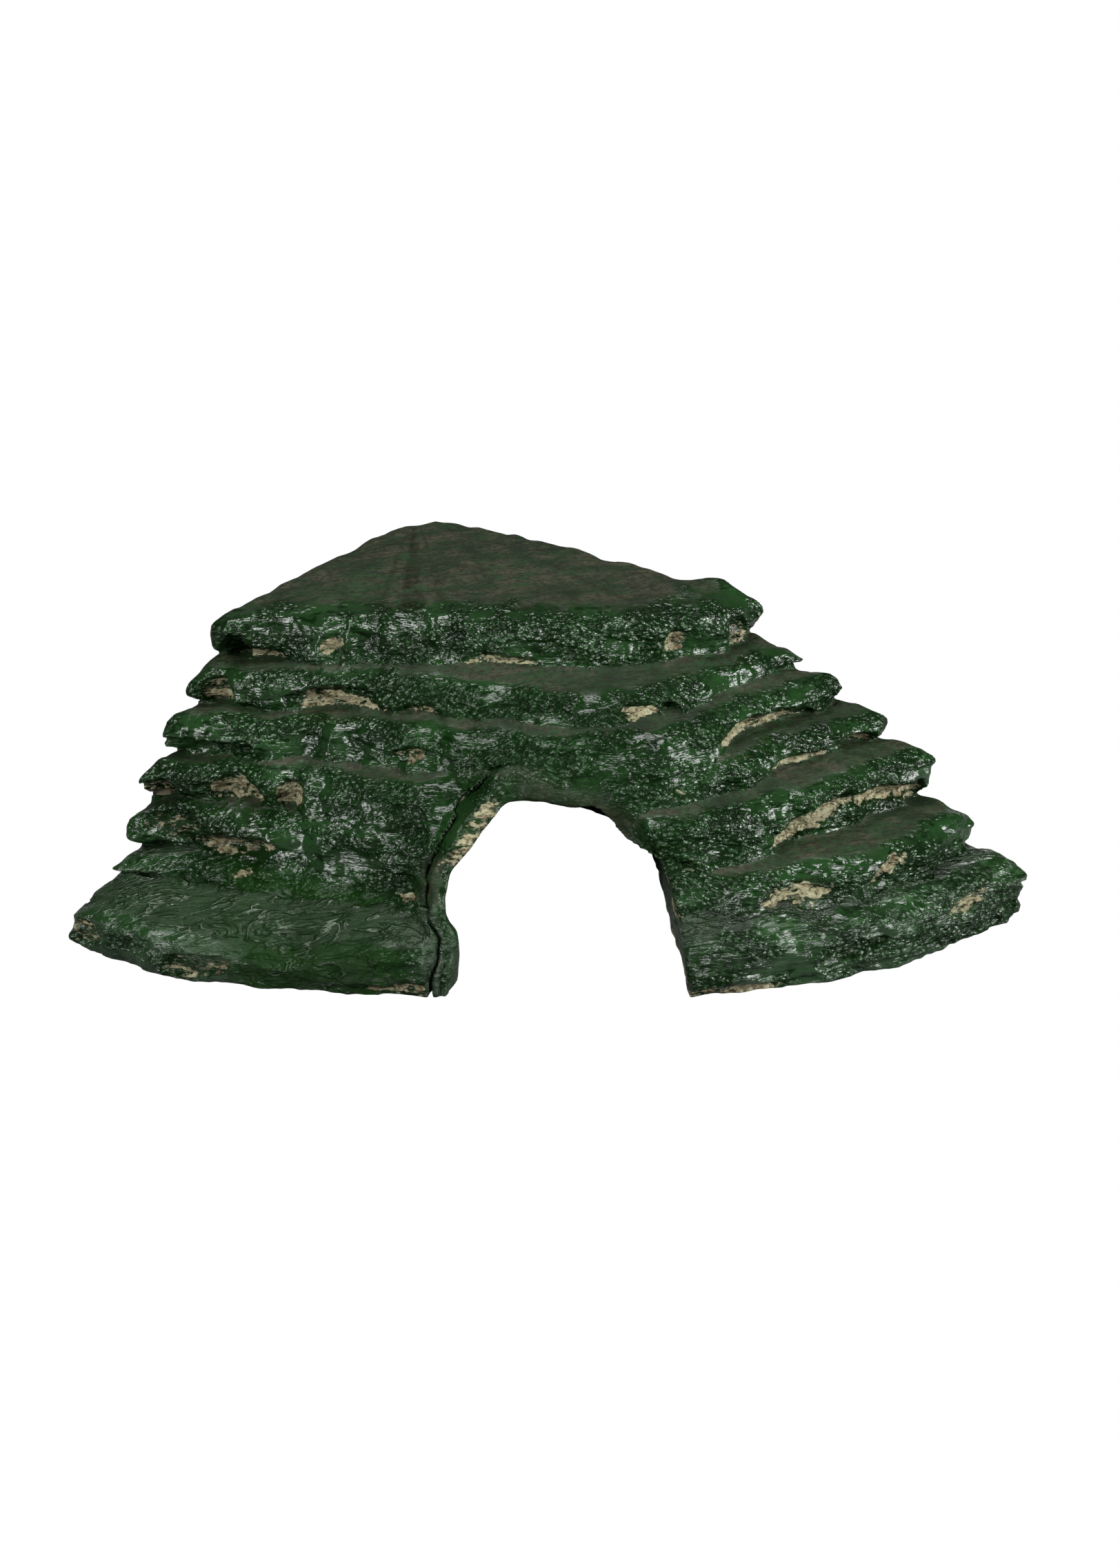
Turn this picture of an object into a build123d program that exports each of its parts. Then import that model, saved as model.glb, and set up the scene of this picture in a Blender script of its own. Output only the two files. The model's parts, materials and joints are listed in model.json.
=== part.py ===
from build123d import *
import math
import os

# Terraced corner ornament for an aquarium or turtle pool: seven rock ledges rise round a tank
# corner to a flat basking platform, over a dead-end cave that opens at the front.
# It is hollow and open underneath. Thin resin castings are bonded along the cracks between ledges.
#
# Working frame, millimetres: the origin is the tank corner on the floor, +Z is up, and the two
# flat backs run out along bearings -45 and +45 degrees. Bearing 0 is -Y, towards the front.
# The finished parts are moved so that the origin is the bottom centre of the whole ornament.

WALL = 6.0            # thickness of the cast rock skin, measured in the recesses
LIP = 7.0             # depth of the overhanging band at each ledge's edge
UNDERCUT = 4.0        # how far the rock below that band is cut back
SKIN = UNDERCUT + WALL  # how far in from a ledge's edge the hollow starts
GLUE = 0.3            # adhesive line between two bonded castings
BACK_WALL = 5.0       # thickness of the flat panels that face the tank glass
LINER_WALL = 5.5      # thickness of the cave lining
CORNER_CUT = 6.0      # how far the back corner is cut off, to clear the tank's silicone seam
RIB_WIDTH = 3.0       # register rib that locates one casting on the next
RIB_HEIGHT = 4.0
BEAD_RADIUS = 8.0     # putty beads in the hidden corners
BEAD_HEIGHT = 12.0
TALL = 140.0          # taller than everything, for cutting tools

# Each ledge: height of its tread at the left back and at the right back, then how far its edge
# reaches from the tank corner at these bearings, from the left back round to the right back.
BEARINGS = (-45, -30, -15, 0, 15, 30, 45)
LEDGES = {
    "platform": (86.0, 88.0, (113, 106, 102, 106, 118, 133, 138)),
    "second": (71.5, 73.5, (128, 119, 117, 127, 146, 150, 154)),
    "third": (60.0, 67.0, (140, 131, 131, 143, 160, 164, 166)),
    "fourth": (47.5, 57.5, (153, 142, 149, 159, 171, 175, 185)),
    "fifth": (35.5, 50.0, (158, 152, 157, 168, 184, 193, 201)),
    "sixth": (22.5, 34.0, (166, 158, 163, 178, 194, 214, 216)),
    "base": (17.0, 22.0, (186, 190, 189, 199, 213, 226, 234)),
}

# The cave: the arch outline of its mouth (across, up), its plan (across, out) and the curve of its
# roof (out, up). All three start outside the rock, at CAVE_FRONT.
MOUTH = ((-22, -1), (-21, 14), (-20.5, 28), (-13, 41), (-2, 51), (13, 57.5), (30, 51), (41, 39),
         (47, 28), (49.5, 16), (51.5, -1))
MOUTH_OUT = -190.0    # where along Y the mouth outline is measured
CAVE_SKEW = 0.10      # sideways drift of the arch for each millimetre that it goes back
CAVE_FRONT = -250.0
RIM_LEAN = 32.0       # the rim round the mouth stands on this plane, leaning back in degrees,
RIM_FOOT = -190.0     # whose foot is this far along Y
CAVE_PLAN = ((-26, -250), (-25, -190), (-20, -130), (-11, -94), (3, -66), (22, -49),
             (40, -57), (53, -73), (60, -102), (59, -145), (54, -190), (53, -250))
CAVE_ROOF = ((-250, 92), (-185, 65), (-166, 55), (-154, 50.5), (-130, 50), (-105, 47),
             (-80, 38), (-60, 20), (-51, -1))


def at_bearing(bearing, reach):
    angle = math.radians(bearing)
    return (reach * math.sin(angle), -reach * math.cos(angle))


def ledge_outline(name, inset):
    """Plan face of a ledge: both flat backs, and the curved front drawn in by inset."""
    front = [at_bearing(b, r - inset) for b, r in zip(BEARINGS, LEDGES[name][2])]
    edges = [Line((0, 0), front[0]), Spline(*front), Line(front[-1], (0, 0))]
    return make_face(Wire(edges))


def bedding_plane(name, drop):
    """The gently tilted plane of a ledge's tread, lowered by drop."""
    left, right, reaches = LEDGES[name]
    half = math.sqrt(0.5)
    run = half * (reaches[0] + reaches[-1])
    tilt = math.atan2(right - left, run)
    at_left = (-half * reaches[0], 0, left - drop)
    return Plane(origin=at_left, z_dir=(-math.sin(tilt), 0, math.cos(tilt)))


def under(shape, name, drop=0.0):
    return split(shape, bisect_by=bedding_plane(name, drop), keep=Keep.BOTTOM)


def over(shape, name, drop=0.0):
    return split(shape, bisect_by=bedding_plane(name, drop), keep=Keep.TOP)


def mound(inset, drop, undercut=0.0):
    """All seven ledges as one stepped solid, drawn in by inset and lowered by drop."""
    steps = []
    for name in LEDGES:
        step = extrude(ledge_outline(name, inset + undercut), amount=TALL)
        steps.append(under(step, name, drop))
        if undercut:
            lip = extrude(ledge_outline(name, inset), amount=TALL)
            steps.append(over(under(lip, name, drop), name, drop + LIP))
    whole = steps[0].fuse(*steps[1:])
    corner = Pos(0, TALL - CORNER_CUT, 0) * Box(2 * TALL, 2 * TALL, 4 * TALL)
    return whole - corner


def register_rib(upper, lower):
    """A rib inside the lower casting's top edge, over which the upper casting is set down."""
    inner = SKIN + GLUE
    upstand = extrude(ledge_outline(upper, inner), amount=TALL)
    upstand = over(under(upstand, lower, -RIB_HEIGHT), lower, WALL)
    seat = extrude(ledge_outline(upper, SKIN - 1), amount=TALL)
    seat = over(under(seat, lower), lower, WALL)
    hollow = extrude(ledge_outline(upper, inner + RIB_WIDTH), amount=TALL)
    return (upstand + seat) - hollow - back_panels_space(GLUE)


def pushed_out(points, amount):
    """The points moved to the left of the way they run, which is outward on all three outlines."""
    moved = []
    for i, (x, y) in enumerate(points):
        before, after = points[max(i - 1, 0)], points[min(i + 1, len(points) - 1)]
        dx, dy = after[0] - before[0], after[1] - before[1]
        scale = amount / math.hypot(dx, dy)
        moved.append((x - dy * scale, y + dx * scale))
    return moved


def profile(points, amount, corners=()):
    """A face: a smooth curve through the points, grown by amount, closed by straight lines."""
    curve = pushed_out(points, amount)
    ends = (curve[-1], *corners, curve[0])
    straights = [Line(p, q) for p, q in zip(ends, ends[1:])]
    return make_face(Wire([Spline(*curve), *straights]))


def cave(grow):
    """The cave's space, grown all round: where its arch, its plan and its roof curve all agree."""
    start = Pos((CAVE_FRONT - MOUTH_OUT) * CAVE_SKEW, CAVE_FRONT, 0)
    arch = start * Plane.XZ.location * profile(MOUTH, grow)
    arch = extrude(arch, amount=240, dir=(CAVE_SKEW, 1, 0))
    plan = extrude(Pos(0, 0, -2 * LINER_WALL) * profile(CAVE_PLAN, grow), amount=TALL)
    side = Plane.YZ.location * profile(CAVE_ROOF, grow, [(CAVE_FRONT, -1)])
    roof = extrude(side, amount=TALL, both=True)
    return arch & plan & roof


def lining(outside):
    """The cave's shell, trimmed to the rock but with a rim that runs unbroken round the mouth."""
    shell = cave(LINER_WALL) - cave(0)
    lean = math.radians(RIM_LEAN)
    face = Plane(origin=(0, RIM_FOOT, 0), z_dir=(0, -math.cos(lean), math.sin(lean)))
    near_mouth = Pos(0, RIM_FOOT, TALL) * Box(2 * TALL, 90, 2 * TALL)
    rim = split(shell & near_mouth, bisect_by=face, keep=Keep.BOTTOM)
    return (shell & outside) + rim


def beside_back(side, depth):
    """Everything within depth of one flat back; side is -1 for the left and +1 for the right."""
    slab = Pos(0, -depth / 2, TALL / 2) * Box(4 * TALL, depth, 2 * TALL)
    return Rot(0, 0, -45 * side) * slab


def corner_block(depth):
    return Pos(0, -depth / 2, TALL / 2) * Box(2 * TALL, depth, 2 * TALL)


def back_panels_space(clearance):
    """The space both back panels take, with some clearance in front of them."""
    depth = BACK_WALL + clearance
    both = beside_back(-1, depth) + beside_back(1, depth)
    return both + corner_block(CORNER_CUT + BACK_WALL + 1 + clearance)


def back_panel(side, filling):
    """A flat panel bonded into the open back of the castings, mitred at the corner."""
    region = beside_back(side, BACK_WALL) + corner_block(CORNER_CUT + BACK_WALL + 1)
    own_half = Pos(side * (TALL + GLUE / 2), 0, 0) * Box(2 * TALL, 8 * TALL, 4 * TALL)
    return filling & region & own_half


def putty_beads(hollow, liner_space):
    """Short upright beads where the panels, the flanks and the lining meet out of sight."""
    spots = [at_bearing(-45, 174), at_bearing(45, 222), (0, -13), (-33, -182), (59, -194)]
    beads = []
    for x, y in spots:
        bead = Pos(x, y, BEAD_HEIGHT / 2 + 1) * Cylinder(BEAD_RADIUS, BEAD_HEIGHT)
        beads.append((bead & hollow) - back_panels_space(0.05) - liner_space)
    return Compound(children=[s for b in beads for s in b.solids()])


def build():
    """Every part in the working frame, by node name."""
    outside = mound(0, 0, UNDERCUT)
    hollow = mound(SKIN, WALL)
    skin = outside - (Pos(0, 0, -1) * hollow) - hollow
    opening = cave(LINER_WALL + GLUE)
    skin = skin - opening

    platform = over(skin, "second", -GLUE)
    bridge = over(under(skin, "second"), "fourth", -GLUE)
    bridge = bridge + (register_rib("platform", "second") - opening)
    flanks = under(skin, "fourth")
    flank_rib = register_rib("third", "fourth") - opening
    flanks = flanks + (flank_rib - Pos(0, 0, RIB_HEIGHT) * opening)
    left_flank, right_flank = sorted(flanks.solids(), key=lambda s: s.center().X)[:2]

    filling = mound(SKIN + GLUE, WALL + GLUE)
    return {
        "platform_slab": platform,
        "bridge_ledges": bridge,
        "left_flank": left_flank,
        "right_flank": right_flank,
        "cave_liner": lining(outside),
        "left_back_wall": back_panel(-1, filling),
        "right_back_wall": back_panel(1, filling),
        "putty_beads": putty_beads(mound(SKIN + 0.05, WALL), cave(LINER_WALL + 0.05)),
    }


parts = build()
whole = Compound(children=[s for shape in parts.values() for s in shape.solids()]).bounding_box()
to_row_frame = Pos(-whole.center().X, -whole.center().Y, -whole.min.Z)
os.makedirs("parts", exist_ok=True)
for node, shape in parts.items():
    moved = to_row_frame * Compound(children=shape.solids())
    export_step(moved, f"parts/{node}.step")
    print(node, len(shape.solids()), [round(v, 1) for v in moved.bounding_box().size])
print("tank corner in the row frame", to_row_frame.position)
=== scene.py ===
"""Terraced rock ornament for an aquarium corner: its sculpted, painted surface, built round the CAD.

Every piece is meshed from a field: a function of position that is negative inside the material.
The ledges' edges and treads are measured from the CAD nodes by casting rays, and the cave's inner
surface by distance, so the rock follows the CAD. Lengths are millimetres from the tank corner that
the two flat backs face, until a mesh is written out in the row frame in metres. A bearing is an
angle in degrees round that corner: -45 is the left back, 0 the front and +45 the right back.
"""

import json
import math

import bpy
import numpy as np
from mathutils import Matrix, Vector
from mathutils.bvhtree import BVHTree


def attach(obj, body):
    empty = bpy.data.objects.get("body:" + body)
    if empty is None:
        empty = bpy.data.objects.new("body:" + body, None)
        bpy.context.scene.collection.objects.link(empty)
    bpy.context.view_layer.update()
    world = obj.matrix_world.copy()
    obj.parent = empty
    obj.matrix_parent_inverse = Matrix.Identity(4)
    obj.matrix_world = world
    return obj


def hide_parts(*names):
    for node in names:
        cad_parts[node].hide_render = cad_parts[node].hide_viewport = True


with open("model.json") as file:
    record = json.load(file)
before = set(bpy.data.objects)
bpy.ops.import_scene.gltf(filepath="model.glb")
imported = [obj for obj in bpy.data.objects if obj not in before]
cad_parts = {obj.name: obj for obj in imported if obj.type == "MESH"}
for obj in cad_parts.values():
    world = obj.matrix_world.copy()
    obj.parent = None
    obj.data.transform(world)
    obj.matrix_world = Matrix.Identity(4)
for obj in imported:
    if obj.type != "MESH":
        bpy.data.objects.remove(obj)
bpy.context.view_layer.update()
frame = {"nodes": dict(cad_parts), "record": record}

MM = 1000.0                     # millimetres in a metre
GRID = 0.8   # spacing of the grids that the rock is meshed on
LEDGE_COUNT = 7                 # counted down from the platform
SPANNING = 3                    # the upper ledges that pass over the cave mouth
BEARING_LIMIT = 44.6            # how far round the ledges are measured, each way from the front
RADII = (85.0, 242.0, 0.8)      # from, to and step of the rays cast down on the ledges
DROP = 2.5                      # a fall from one ray to the next that marks a ledge's edge
WALL = 6.0                      # rock skin above the hollow
SKIN = 10.0                     # rock skin behind a ledge's edge
BACK_WALL = 5.0                 # flat back panels
CORNER_CUT = 6.0                # the cut across the back corner
GLUE = 0.3                      # joint lines between castings
LINER_WALL = 5.5                # the cave's lining
FAR = 20.0                      # a field value that is clearly outside
SMALLEST_PART = 400             # vertices; anything smaller that comes loose is dropped


# ---------- the frame, in millimetres

def tank_corner():
    """Where the planes of the two glass mounts and the floor meet, in the row frame."""
    mounts = {m["name"]: m for m in frame["record"]["mounts"]}
    faces = [mounts["left_glass"], mounts["right_glass"]]
    normals = np.array([m["axis"][:2] for m in faces])
    offsets = [np.dot(m["axis"], m["pos_m"]) for m in faces]
    x, y = np.linalg.solve(normals, offsets)
    return np.array([x, y, 0.0]) * MM


CORNER = tank_corner()


def node_points(node):
    mesh = frame["nodes"][node].data
    points = np.empty(len(mesh.vertices) * 3, np.float32)
    mesh.vertices.foreach_get("co", points)
    return points.reshape(-1, 3) * MM - CORNER


def node_bounds(node, margin):
    points = node_points(node)
    return points.min(0) - margin, points.max(0) + margin


def tree_of(nodes, keep=None):
    """A ray and distance tree over the faces of some CAD nodes that pass a test."""
    points, faces, start = [], [], 0
    for node in nodes:
        mesh = frame["nodes"][node].data
        own = node_points(node)
        for face in mesh.polygons:
            corners = own[list(face.vertices)]
            if keep is None or keep(corners.mean(0), np.array(face.normal)):
                faces.append([start + v for v in face.vertices])
        points.extend(own.tolist())
        start += len(own)
    return BVHTree.FromPolygons(points, faces)


def measure_ledges():
    """How far each ledge reaches, and how high its tread is, at a row of bearings.

    Above the cave only the upper ledges are there; the others are filled in from their neighbours.
    """
    tree = tree_of(["platform_slab", "bridge_ledges", "left_flank", "right_flank"])
    bearings = np.linspace(-BEARING_LIMIT, BEARING_LIMIT, 61)
    radii = np.arange(*RADII)
    reach = np.full((LEDGE_COUNT, len(bearings)), np.nan)
    tread = np.full((LEDGE_COUNT, len(bearings)), np.nan)
    for column, bearing in enumerate(np.radians(bearings)):
        heights = []
        for r in radii:
            above = Vector((r * math.sin(bearing), -r * math.cos(bearing), 200))
            hit = tree.ray_cast(above, Vector((0, 0, -1)))[0]
            heights.append(hit.z if hit else 0.0)
        heights = np.array(heights)
        drops = np.flatnonzero(heights[:-1] - heights[1:] > DROP)
        if len(drops) != LEDGE_COUNT:
            drops = drops[:SPANNING]
        reach[:len(drops), column] = radii[drops] + RADII[2] / 2
        tread[:len(drops), column] = heights[drops]
    for table in (reach, tread):
        for row in table:
            known = ~np.isnan(row)
            row[:] = np.interp(bearings, bearings[known], row[known])
            padded = np.pad(row, 3, "edge")
            row[:] = np.median([padded[i:i + len(row)] for i in range(7)], axis=0)
    # Each tread is a plane that tilts only from left to right.
    across = reach * np.sin(np.radians(bearings))
    level = [np.polyval(np.polyfit(x, z, 1), x) for x, z in zip(across, tread)]
    return bearings, reach, np.array(level)


BEARINGS, REACH, TREAD = measure_ledges()


def measure_cave(spacing=2.0, margin=10.0):
    """Distance outside the cave's inner surface, on a coarse grid round the lining."""
    low, high = np.array(frame["record"]["physics"]["openings"][0]["box_m"]) * MM - CORNER
    middle = (low + high) / 2

    def faces_cave(centre, normal):
        inward = middle - centre
        if centre[1] < -120:
            inward[1] = 0
        ledge_face = abs(normal[2]) > 0.985 and (centre[1] < -152 or centre[2] > 52)
        return np.dot(normal, inward) > 0.3 * np.linalg.norm(inward) and not ledge_face

    tree = tree_of(["cave_liner"], faces_cave)
    lowest, highest = node_bounds("cave_liner", margin)
    axes = [np.arange(a, b, spacing) for a, b in zip(lowest, highest)]
    values = np.empty([len(a) for a in axes], np.float32)
    for i, x in enumerate(axes[0]):
        for j, y in enumerate(axes[1]):
            for k, z in enumerate(axes[2]):
                place, normal, _, distance = tree.find_nearest((x, y, z))
                inside = (x - place.x) * normal.x + (y - place.y) * normal.y + (z - place.z) * normal.z
                values[i, j, k] = -distance if inside > 0 else distance
    return lowest.astype(np.float32), spacing, values


CAVE = measure_cave()


def outside_cave(points):
    """Interpolates the measured cave distance; far from the lining it is a large number."""
    lowest, spacing, values = CAVE
    place = (points - lowest) / spacing
    limit = np.array(values.shape) - 2
    beyond = ((place < 0) | (place > limit)).any(1)
    place = np.clip(place, 0, limit - 1e-3)
    cell = place.astype(np.int32)
    t = (place - cell).astype(np.float32)
    total = np.zeros(len(points), np.float32)
    for corner in np.ndindex(2, 2, 2):
        weight = np.prod([t[:, a] if corner[a] else 1 - t[:, a] for a in range(3)], axis=0)
        total += weight * values[tuple(cell[:, a] + corner[a] for a in range(3))]
    total[beyond] = FAR
    return total


# ---------- noise

class Noise:
    """Smooth gradient noise, roughly -1 to 1, from a repeating lattice of random directions."""

    SIZE = 64

    def __init__(self, seed):
        grain = np.random.default_rng(seed).normal(size=(self.SIZE,) * 3 + (3,))
        grain /= np.linalg.norm(grain, axis=-1, keepdims=True)
        self.grain = grain.astype(np.float32)

    def __call__(self, points):
        base = np.floor(points)
        t = (points - base).astype(np.float32)
        cell = base.astype(np.int32)
        ease = t * t * t * (t * (t * 6 - 15) + 10)
        total = np.zeros(len(points), np.float32)
        for corner in np.ndindex(2, 2, 2):
            index = tuple((cell[:, a] + corner[a]) % self.SIZE for a in range(3))
            slope = self.grain[index]
            push = np.einsum("ij,ij->i", slope, t - np.array(corner, np.float32))
            for a in range(3):
                push = push * (ease[:, a] if corner[a] else 1 - ease[:, a])
            total += push
        return total * 1.7


NOISE = Noise(7)


def lumps(points, size, shift=0.0):
    """Noise whose lumps are about size across; shift picks an unrelated patch of it."""
    return NOISE(points / np.float32(size) + np.float32(shift))


def along(bearing, row, size, shift=0.0):
    """Noise that varies round the ledges and from one row to the next."""
    row = np.broadcast_to(row * 7.37, bearing.shape)
    points = np.stack([bearing * 2.97 / size, row, np.full_like(bearing, shift)], 1)
    return NOISE(points.astype(np.float32))


def smooth(t):
    t = np.clip(t, 0, 1)
    return t * t * (3 - 2 * t)


def layered(bearing, height, thickness, size, shift):
    """Offsets of thin beds: nearly constant through each bed, changing sharply between beds."""
    place = height / thickness
    bed = np.floor(place)
    blend = smooth((place - bed - 0.35) / 0.3)
    lower = along(bearing, bed, size, shift)
    upper = along(bearing, bed + 1, size, shift)
    return lower + (upper - lower) * blend


def soft_max(a, b, radius):
    overlap = np.maximum(radius - np.abs(a - b), 0) / radius
    return np.maximum(a, b) + overlap * overlap * radius * 0.25


def soft_min(a, b, radius):
    return -soft_max(-a, -b, radius)


# ---------- the ledges

PLATFORM, SECOND, THIRD, FOURTH, FIFTH, SIXTH, BASE = range(LEDGE_COUNT)

# Hollows eaten into the risers: ledge, bearing, height, half length, half height, depth, tilt,
# and how much of the paint is missing inside.
HOLLOWS = (
    (PLATFORM, -40.5, 74.5, 5, 6, 8, 0.0, 0.1),
    (PLATFORM, -36.0, 73.5, 7, 2.5, 3.5, 0.0, 1.0),
    (PLATFORM, -23.7, 79.0, 4, 3, 2, 0.3, 0.9),
    (PLATFORM, 4.5, 74.5, 12, 3, 3.5, 0.0, 0.8),
    (PLATFORM, 29.1, 79.0, 4, 4, 2, 0.5, 1.0),
    (PLATFORM, 39.1, 76.5, 5, 6, 2.5, 0.0, 0.7),
    (SECOND, -40.0, 64.5, 7, 5, 6, 0.0, 0.8),
    (SECOND, -21.5, 63.5, 17, 5.5, 6, 0.0, 1.0),
    (SECOND, -8.5, 63.5, 7, 3, 3.5, 0.0, 0.8),
    (SECOND, 18.5, 67, 7, 2.2, 2.5, 0.0, 0.9),
    (SECOND, 22.6, 66.5, 2.5, 2.5, 5, 0.0, 0.1),
    (THIRD, -38.0, 51.5, 17, 3, 4, 0.0, 0.0),
    (THIRD, -10.4, 56, 5.5, 2.6, 3.0, 0.2, 0.6),
    (THIRD, 33.0, 57.5, 20, 4.0, 5.0, 0.0, 1.0),
    (FOURTH, -43.0, 39, 6, 4.5, 5, 0.0, 0.8),
    (FOURTH, -32.5, 42, 10, 5, 6.5, 0.0, 1.0),
    (FOURTH, -25.3, 43.0, 5, 5.0, 5, 0.0, 0.9),
    (FOURTH, 33.5, 48.8, 12, 2.4, 3.5, 0.05, 1.0),
    (FOURTH, 40.5, 50.5, 6, 3, 4, 0.0, 1.0),
    (FIFTH, -39.5, 31, 9, 5, 7, 0.0, 0.4),
    (FIFTH, -31.0, 28, 16, 3, 3.5, 0.1, 0.8),
    (FIFTH, 29.8, 37.3, 16, 3.5, 4.5, 0.34, 1.0),
    (FIFTH, 38.0, 39.5, 17, 2.6, 3.5, -0.12, 1.0),
    (FIFTH, 42.5, 36, 5, 4, 4, 0.0, 0.8),
    (FIFTH, 16.8, 31, 2.5, 3.5, 2.5, 0.0, 0.6),
    (SIXTH, -29.0, 25, 5, 4, 5, 0.3, 0.7),
    (SIXTH, -15.6, 22.5, 2.0, 2, 4.5, 0.0, 0.0),
    (SIXTH, -11.0, 25.5, 7, 4, 5, 0.0, 0.9),
    (SIXTH, 18.7, 28, 1.5, 1.5, 3.5, 0.0, 0.1),
    (SIXTH, 24.5, 24.5, 11, 3.8, 4, 0.1, 0.9),
    (SIXTH, 33.0, 28.5, 9, 3.0, 4, 0.45, 1.0),
    (SIXTH, 16.0, 21.0, 7, 2.5, 2, 0.1, 0.9),
    (BASE, -43.0, 7, 8, 4, 3, 0.0, 0.6),
    (BASE, -29.8, 6, 12, 4, 2.5, 0.1, 0.6),
    (BASE, -10.0, 2.5, 16, 3, 3, 0.0, 0.8),
    (BASE, 17.0, 1.5, 16, 3, 3, 0.0, 0.9),
    (BASE, 38.5, 14, 13, 3, 3, 0.1, 0.8),
    (BASE, 27.0, 9, 12, 2.5, 3, 0.2, 0.1),
)


def polar(points):
    bearing = np.degrees(np.arctan2(points[:, 0], -points[:, 1]))
    return np.clip(bearing, -48, 48), np.hypot(points[:, 0], points[:, 1])


def plain_steps(points, inset, drop):
    """The measured ledges without any sculpting, drawn in and lowered."""
    bearing, reach = polar(points)
    total = np.full(len(points), FAR, np.float32)
    for ledge in range(LEDGE_COUNT):
        beyond = reach - np.interp(bearing, BEARINGS, REACH[ledge]) + inset
        above = points[:, 2] - np.interp(bearing, BEARINGS, TREAD[ledge]) + drop
        total = np.minimum(total, np.maximum(beyond, above))
    return total


def backs(points):
    """Distance beyond the two flat backs and the cut corner between them."""
    half = math.sqrt(0.5)
    left = (points[:, 1] - points[:, 0]) * half
    right = (points[:, 1] + points[:, 0]) * half
    return left, right, points[:, 1] + CORNER_CUT


def past_backs(points):
    return np.maximum.reduce(backs(points))


# Tables that are quick to look up: each tread's unevenness in plan, and profiles round each ledge.
PLAN_LOW = np.array([-150.0, -250.0], np.float32)
PLAN_SIZE = (340, 260)
FINE_BEARINGS = np.linspace(-48, 48, 961)


def tread_waves():
    """Height to add to each ledge's tread, on a 1 mm grid in plan."""
    x, y = np.meshgrid(np.arange(PLAN_SIZE[0]), np.arange(PLAN_SIZE[1]), indexing="ij")
    flat = np.stack([x.ravel() + PLAN_LOW[0], y.ravel() + PLAN_LOW[1], np.zeros(x.size)], 1)
    flat = flat.astype(np.float32)
    rim = smooth(1 + past_backs(flat) / 16)
    waves = []
    for ledge in range(LEDGE_COUNT):
        wave = 1.2 * lumps(flat, 30, 3.1 * ledge) + 0.7 * lumps(flat, 12, 5.3 * ledge)
        wave += 0.3 * lumps(flat, 4.5, 1.7 * ledge)
        wave += rim * (-1.5 + 3.0 * lumps(flat, 16, 9.1 * ledge) + 1.1 * lumps(flat, 7, 4.1 * ledge))
        if ledge == BASE:
            drawn_out = flat * np.array([0.5, 1.4, 1], np.float32)
            wave += 2.4 * (0.3 - np.abs(lumps(drawn_out, 10, 6.6)))
            wave += 1.1 * (0.3 - np.abs(lumps(drawn_out, 5, 3.6)))
        waves.append(wave.reshape(PLAN_SIZE).astype(np.float32))
    return waves


WAVES = tread_waves()


def tread_height(ledge, points, bearing):
    """A ledge's tread, gently uneven."""
    place = np.clip(points[:, :2] - PLAN_LOW, 0, np.array(PLAN_SIZE) - 1.01)
    cell = place.astype(np.int32)
    u, v = (place - cell).T
    i, j = cell.T
    wave = WAVES[ledge]
    near = wave[i, j] * (1 - u) + wave[i + 1, j] * u
    far = wave[i, j + 1] * (1 - u) + wave[i + 1, j + 1] * u
    return np.interp(bearing, BEARINGS, TREAD[ledge]) + near * (1 - v) + far * v


# Profiles of the ledges: values at bearings, then how far in from its edge each tread falls away.
OVERHANG = ((-45, -40, -35, -20, 0, 18, 28, 40, 45), (7, 5, 1, -1.5, -3.5, -3.2, -0.5, 1.5, 4))
NOSE = ((-45, -35, -15, 5, 20, 45), (5.0, 5.2, 6.5, 7.5, 5.5, 4.5))
UNDERCUT_START = ((-45, -36, -25), (0.68, 0.55, 0.35))
FILLET = ((-45, -38, -28, 0, 25, 45), (1.2, 1.8, 4, 6.5, 4.5, 2))
BASE_NOSE = ((-14, 12, 20), (0.55, 0.7, 1.2))
BASE_DROOP = ((-45, -38, -31, -26, -20, -14, 12, 20), (3, 3, 3.5, 8.5, 8, 4.5, 3, 0))
DROOP_WIDTH = (16, 11, 11, 11, 11, 11, 22)


def ledge_tables():
    """Edge, overhang, nose and droop of each ledge at fine steps of bearing."""
    b = FINE_BEARINGS
    tables = []
    for ledge in range(LEDGE_COUNT):
        edge = np.interp(b, BEARINGS, REACH[ledge])
        edge = edge + 2.6 * along(b, ledge, 27, 1.5) + 1.8 * along(b, ledge, 10, 4.5)
        overhang = np.interp(b, *OVERHANG) + 1.6 * along(b, ledge, 19, 6.5)
        if ledge == BASE:
            overhang = overhang * 0.3 + 1.5
        nose = np.interp(b, *NOSE) * (1 + 0.35 * along(b, ledge, 15, 8.5))
        nose = nose * (1.2 if ledge == PLATFORM else 1)
        chip = smooth(1.8 * along(b, ledge, 12, 12.5) - 0.6)
        droop = 1.2 + 1.5 * chip
        if ledge == BASE:
            nose = nose * np.interp(b, *BASE_NOSE)
            droop = droop + np.interp(b, *BASE_DROOP)
        tables.append((edge, overhang, nose + 2.5 * chip, droop))
    return tables


LEDGE_TABLES = ledge_tables()


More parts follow.
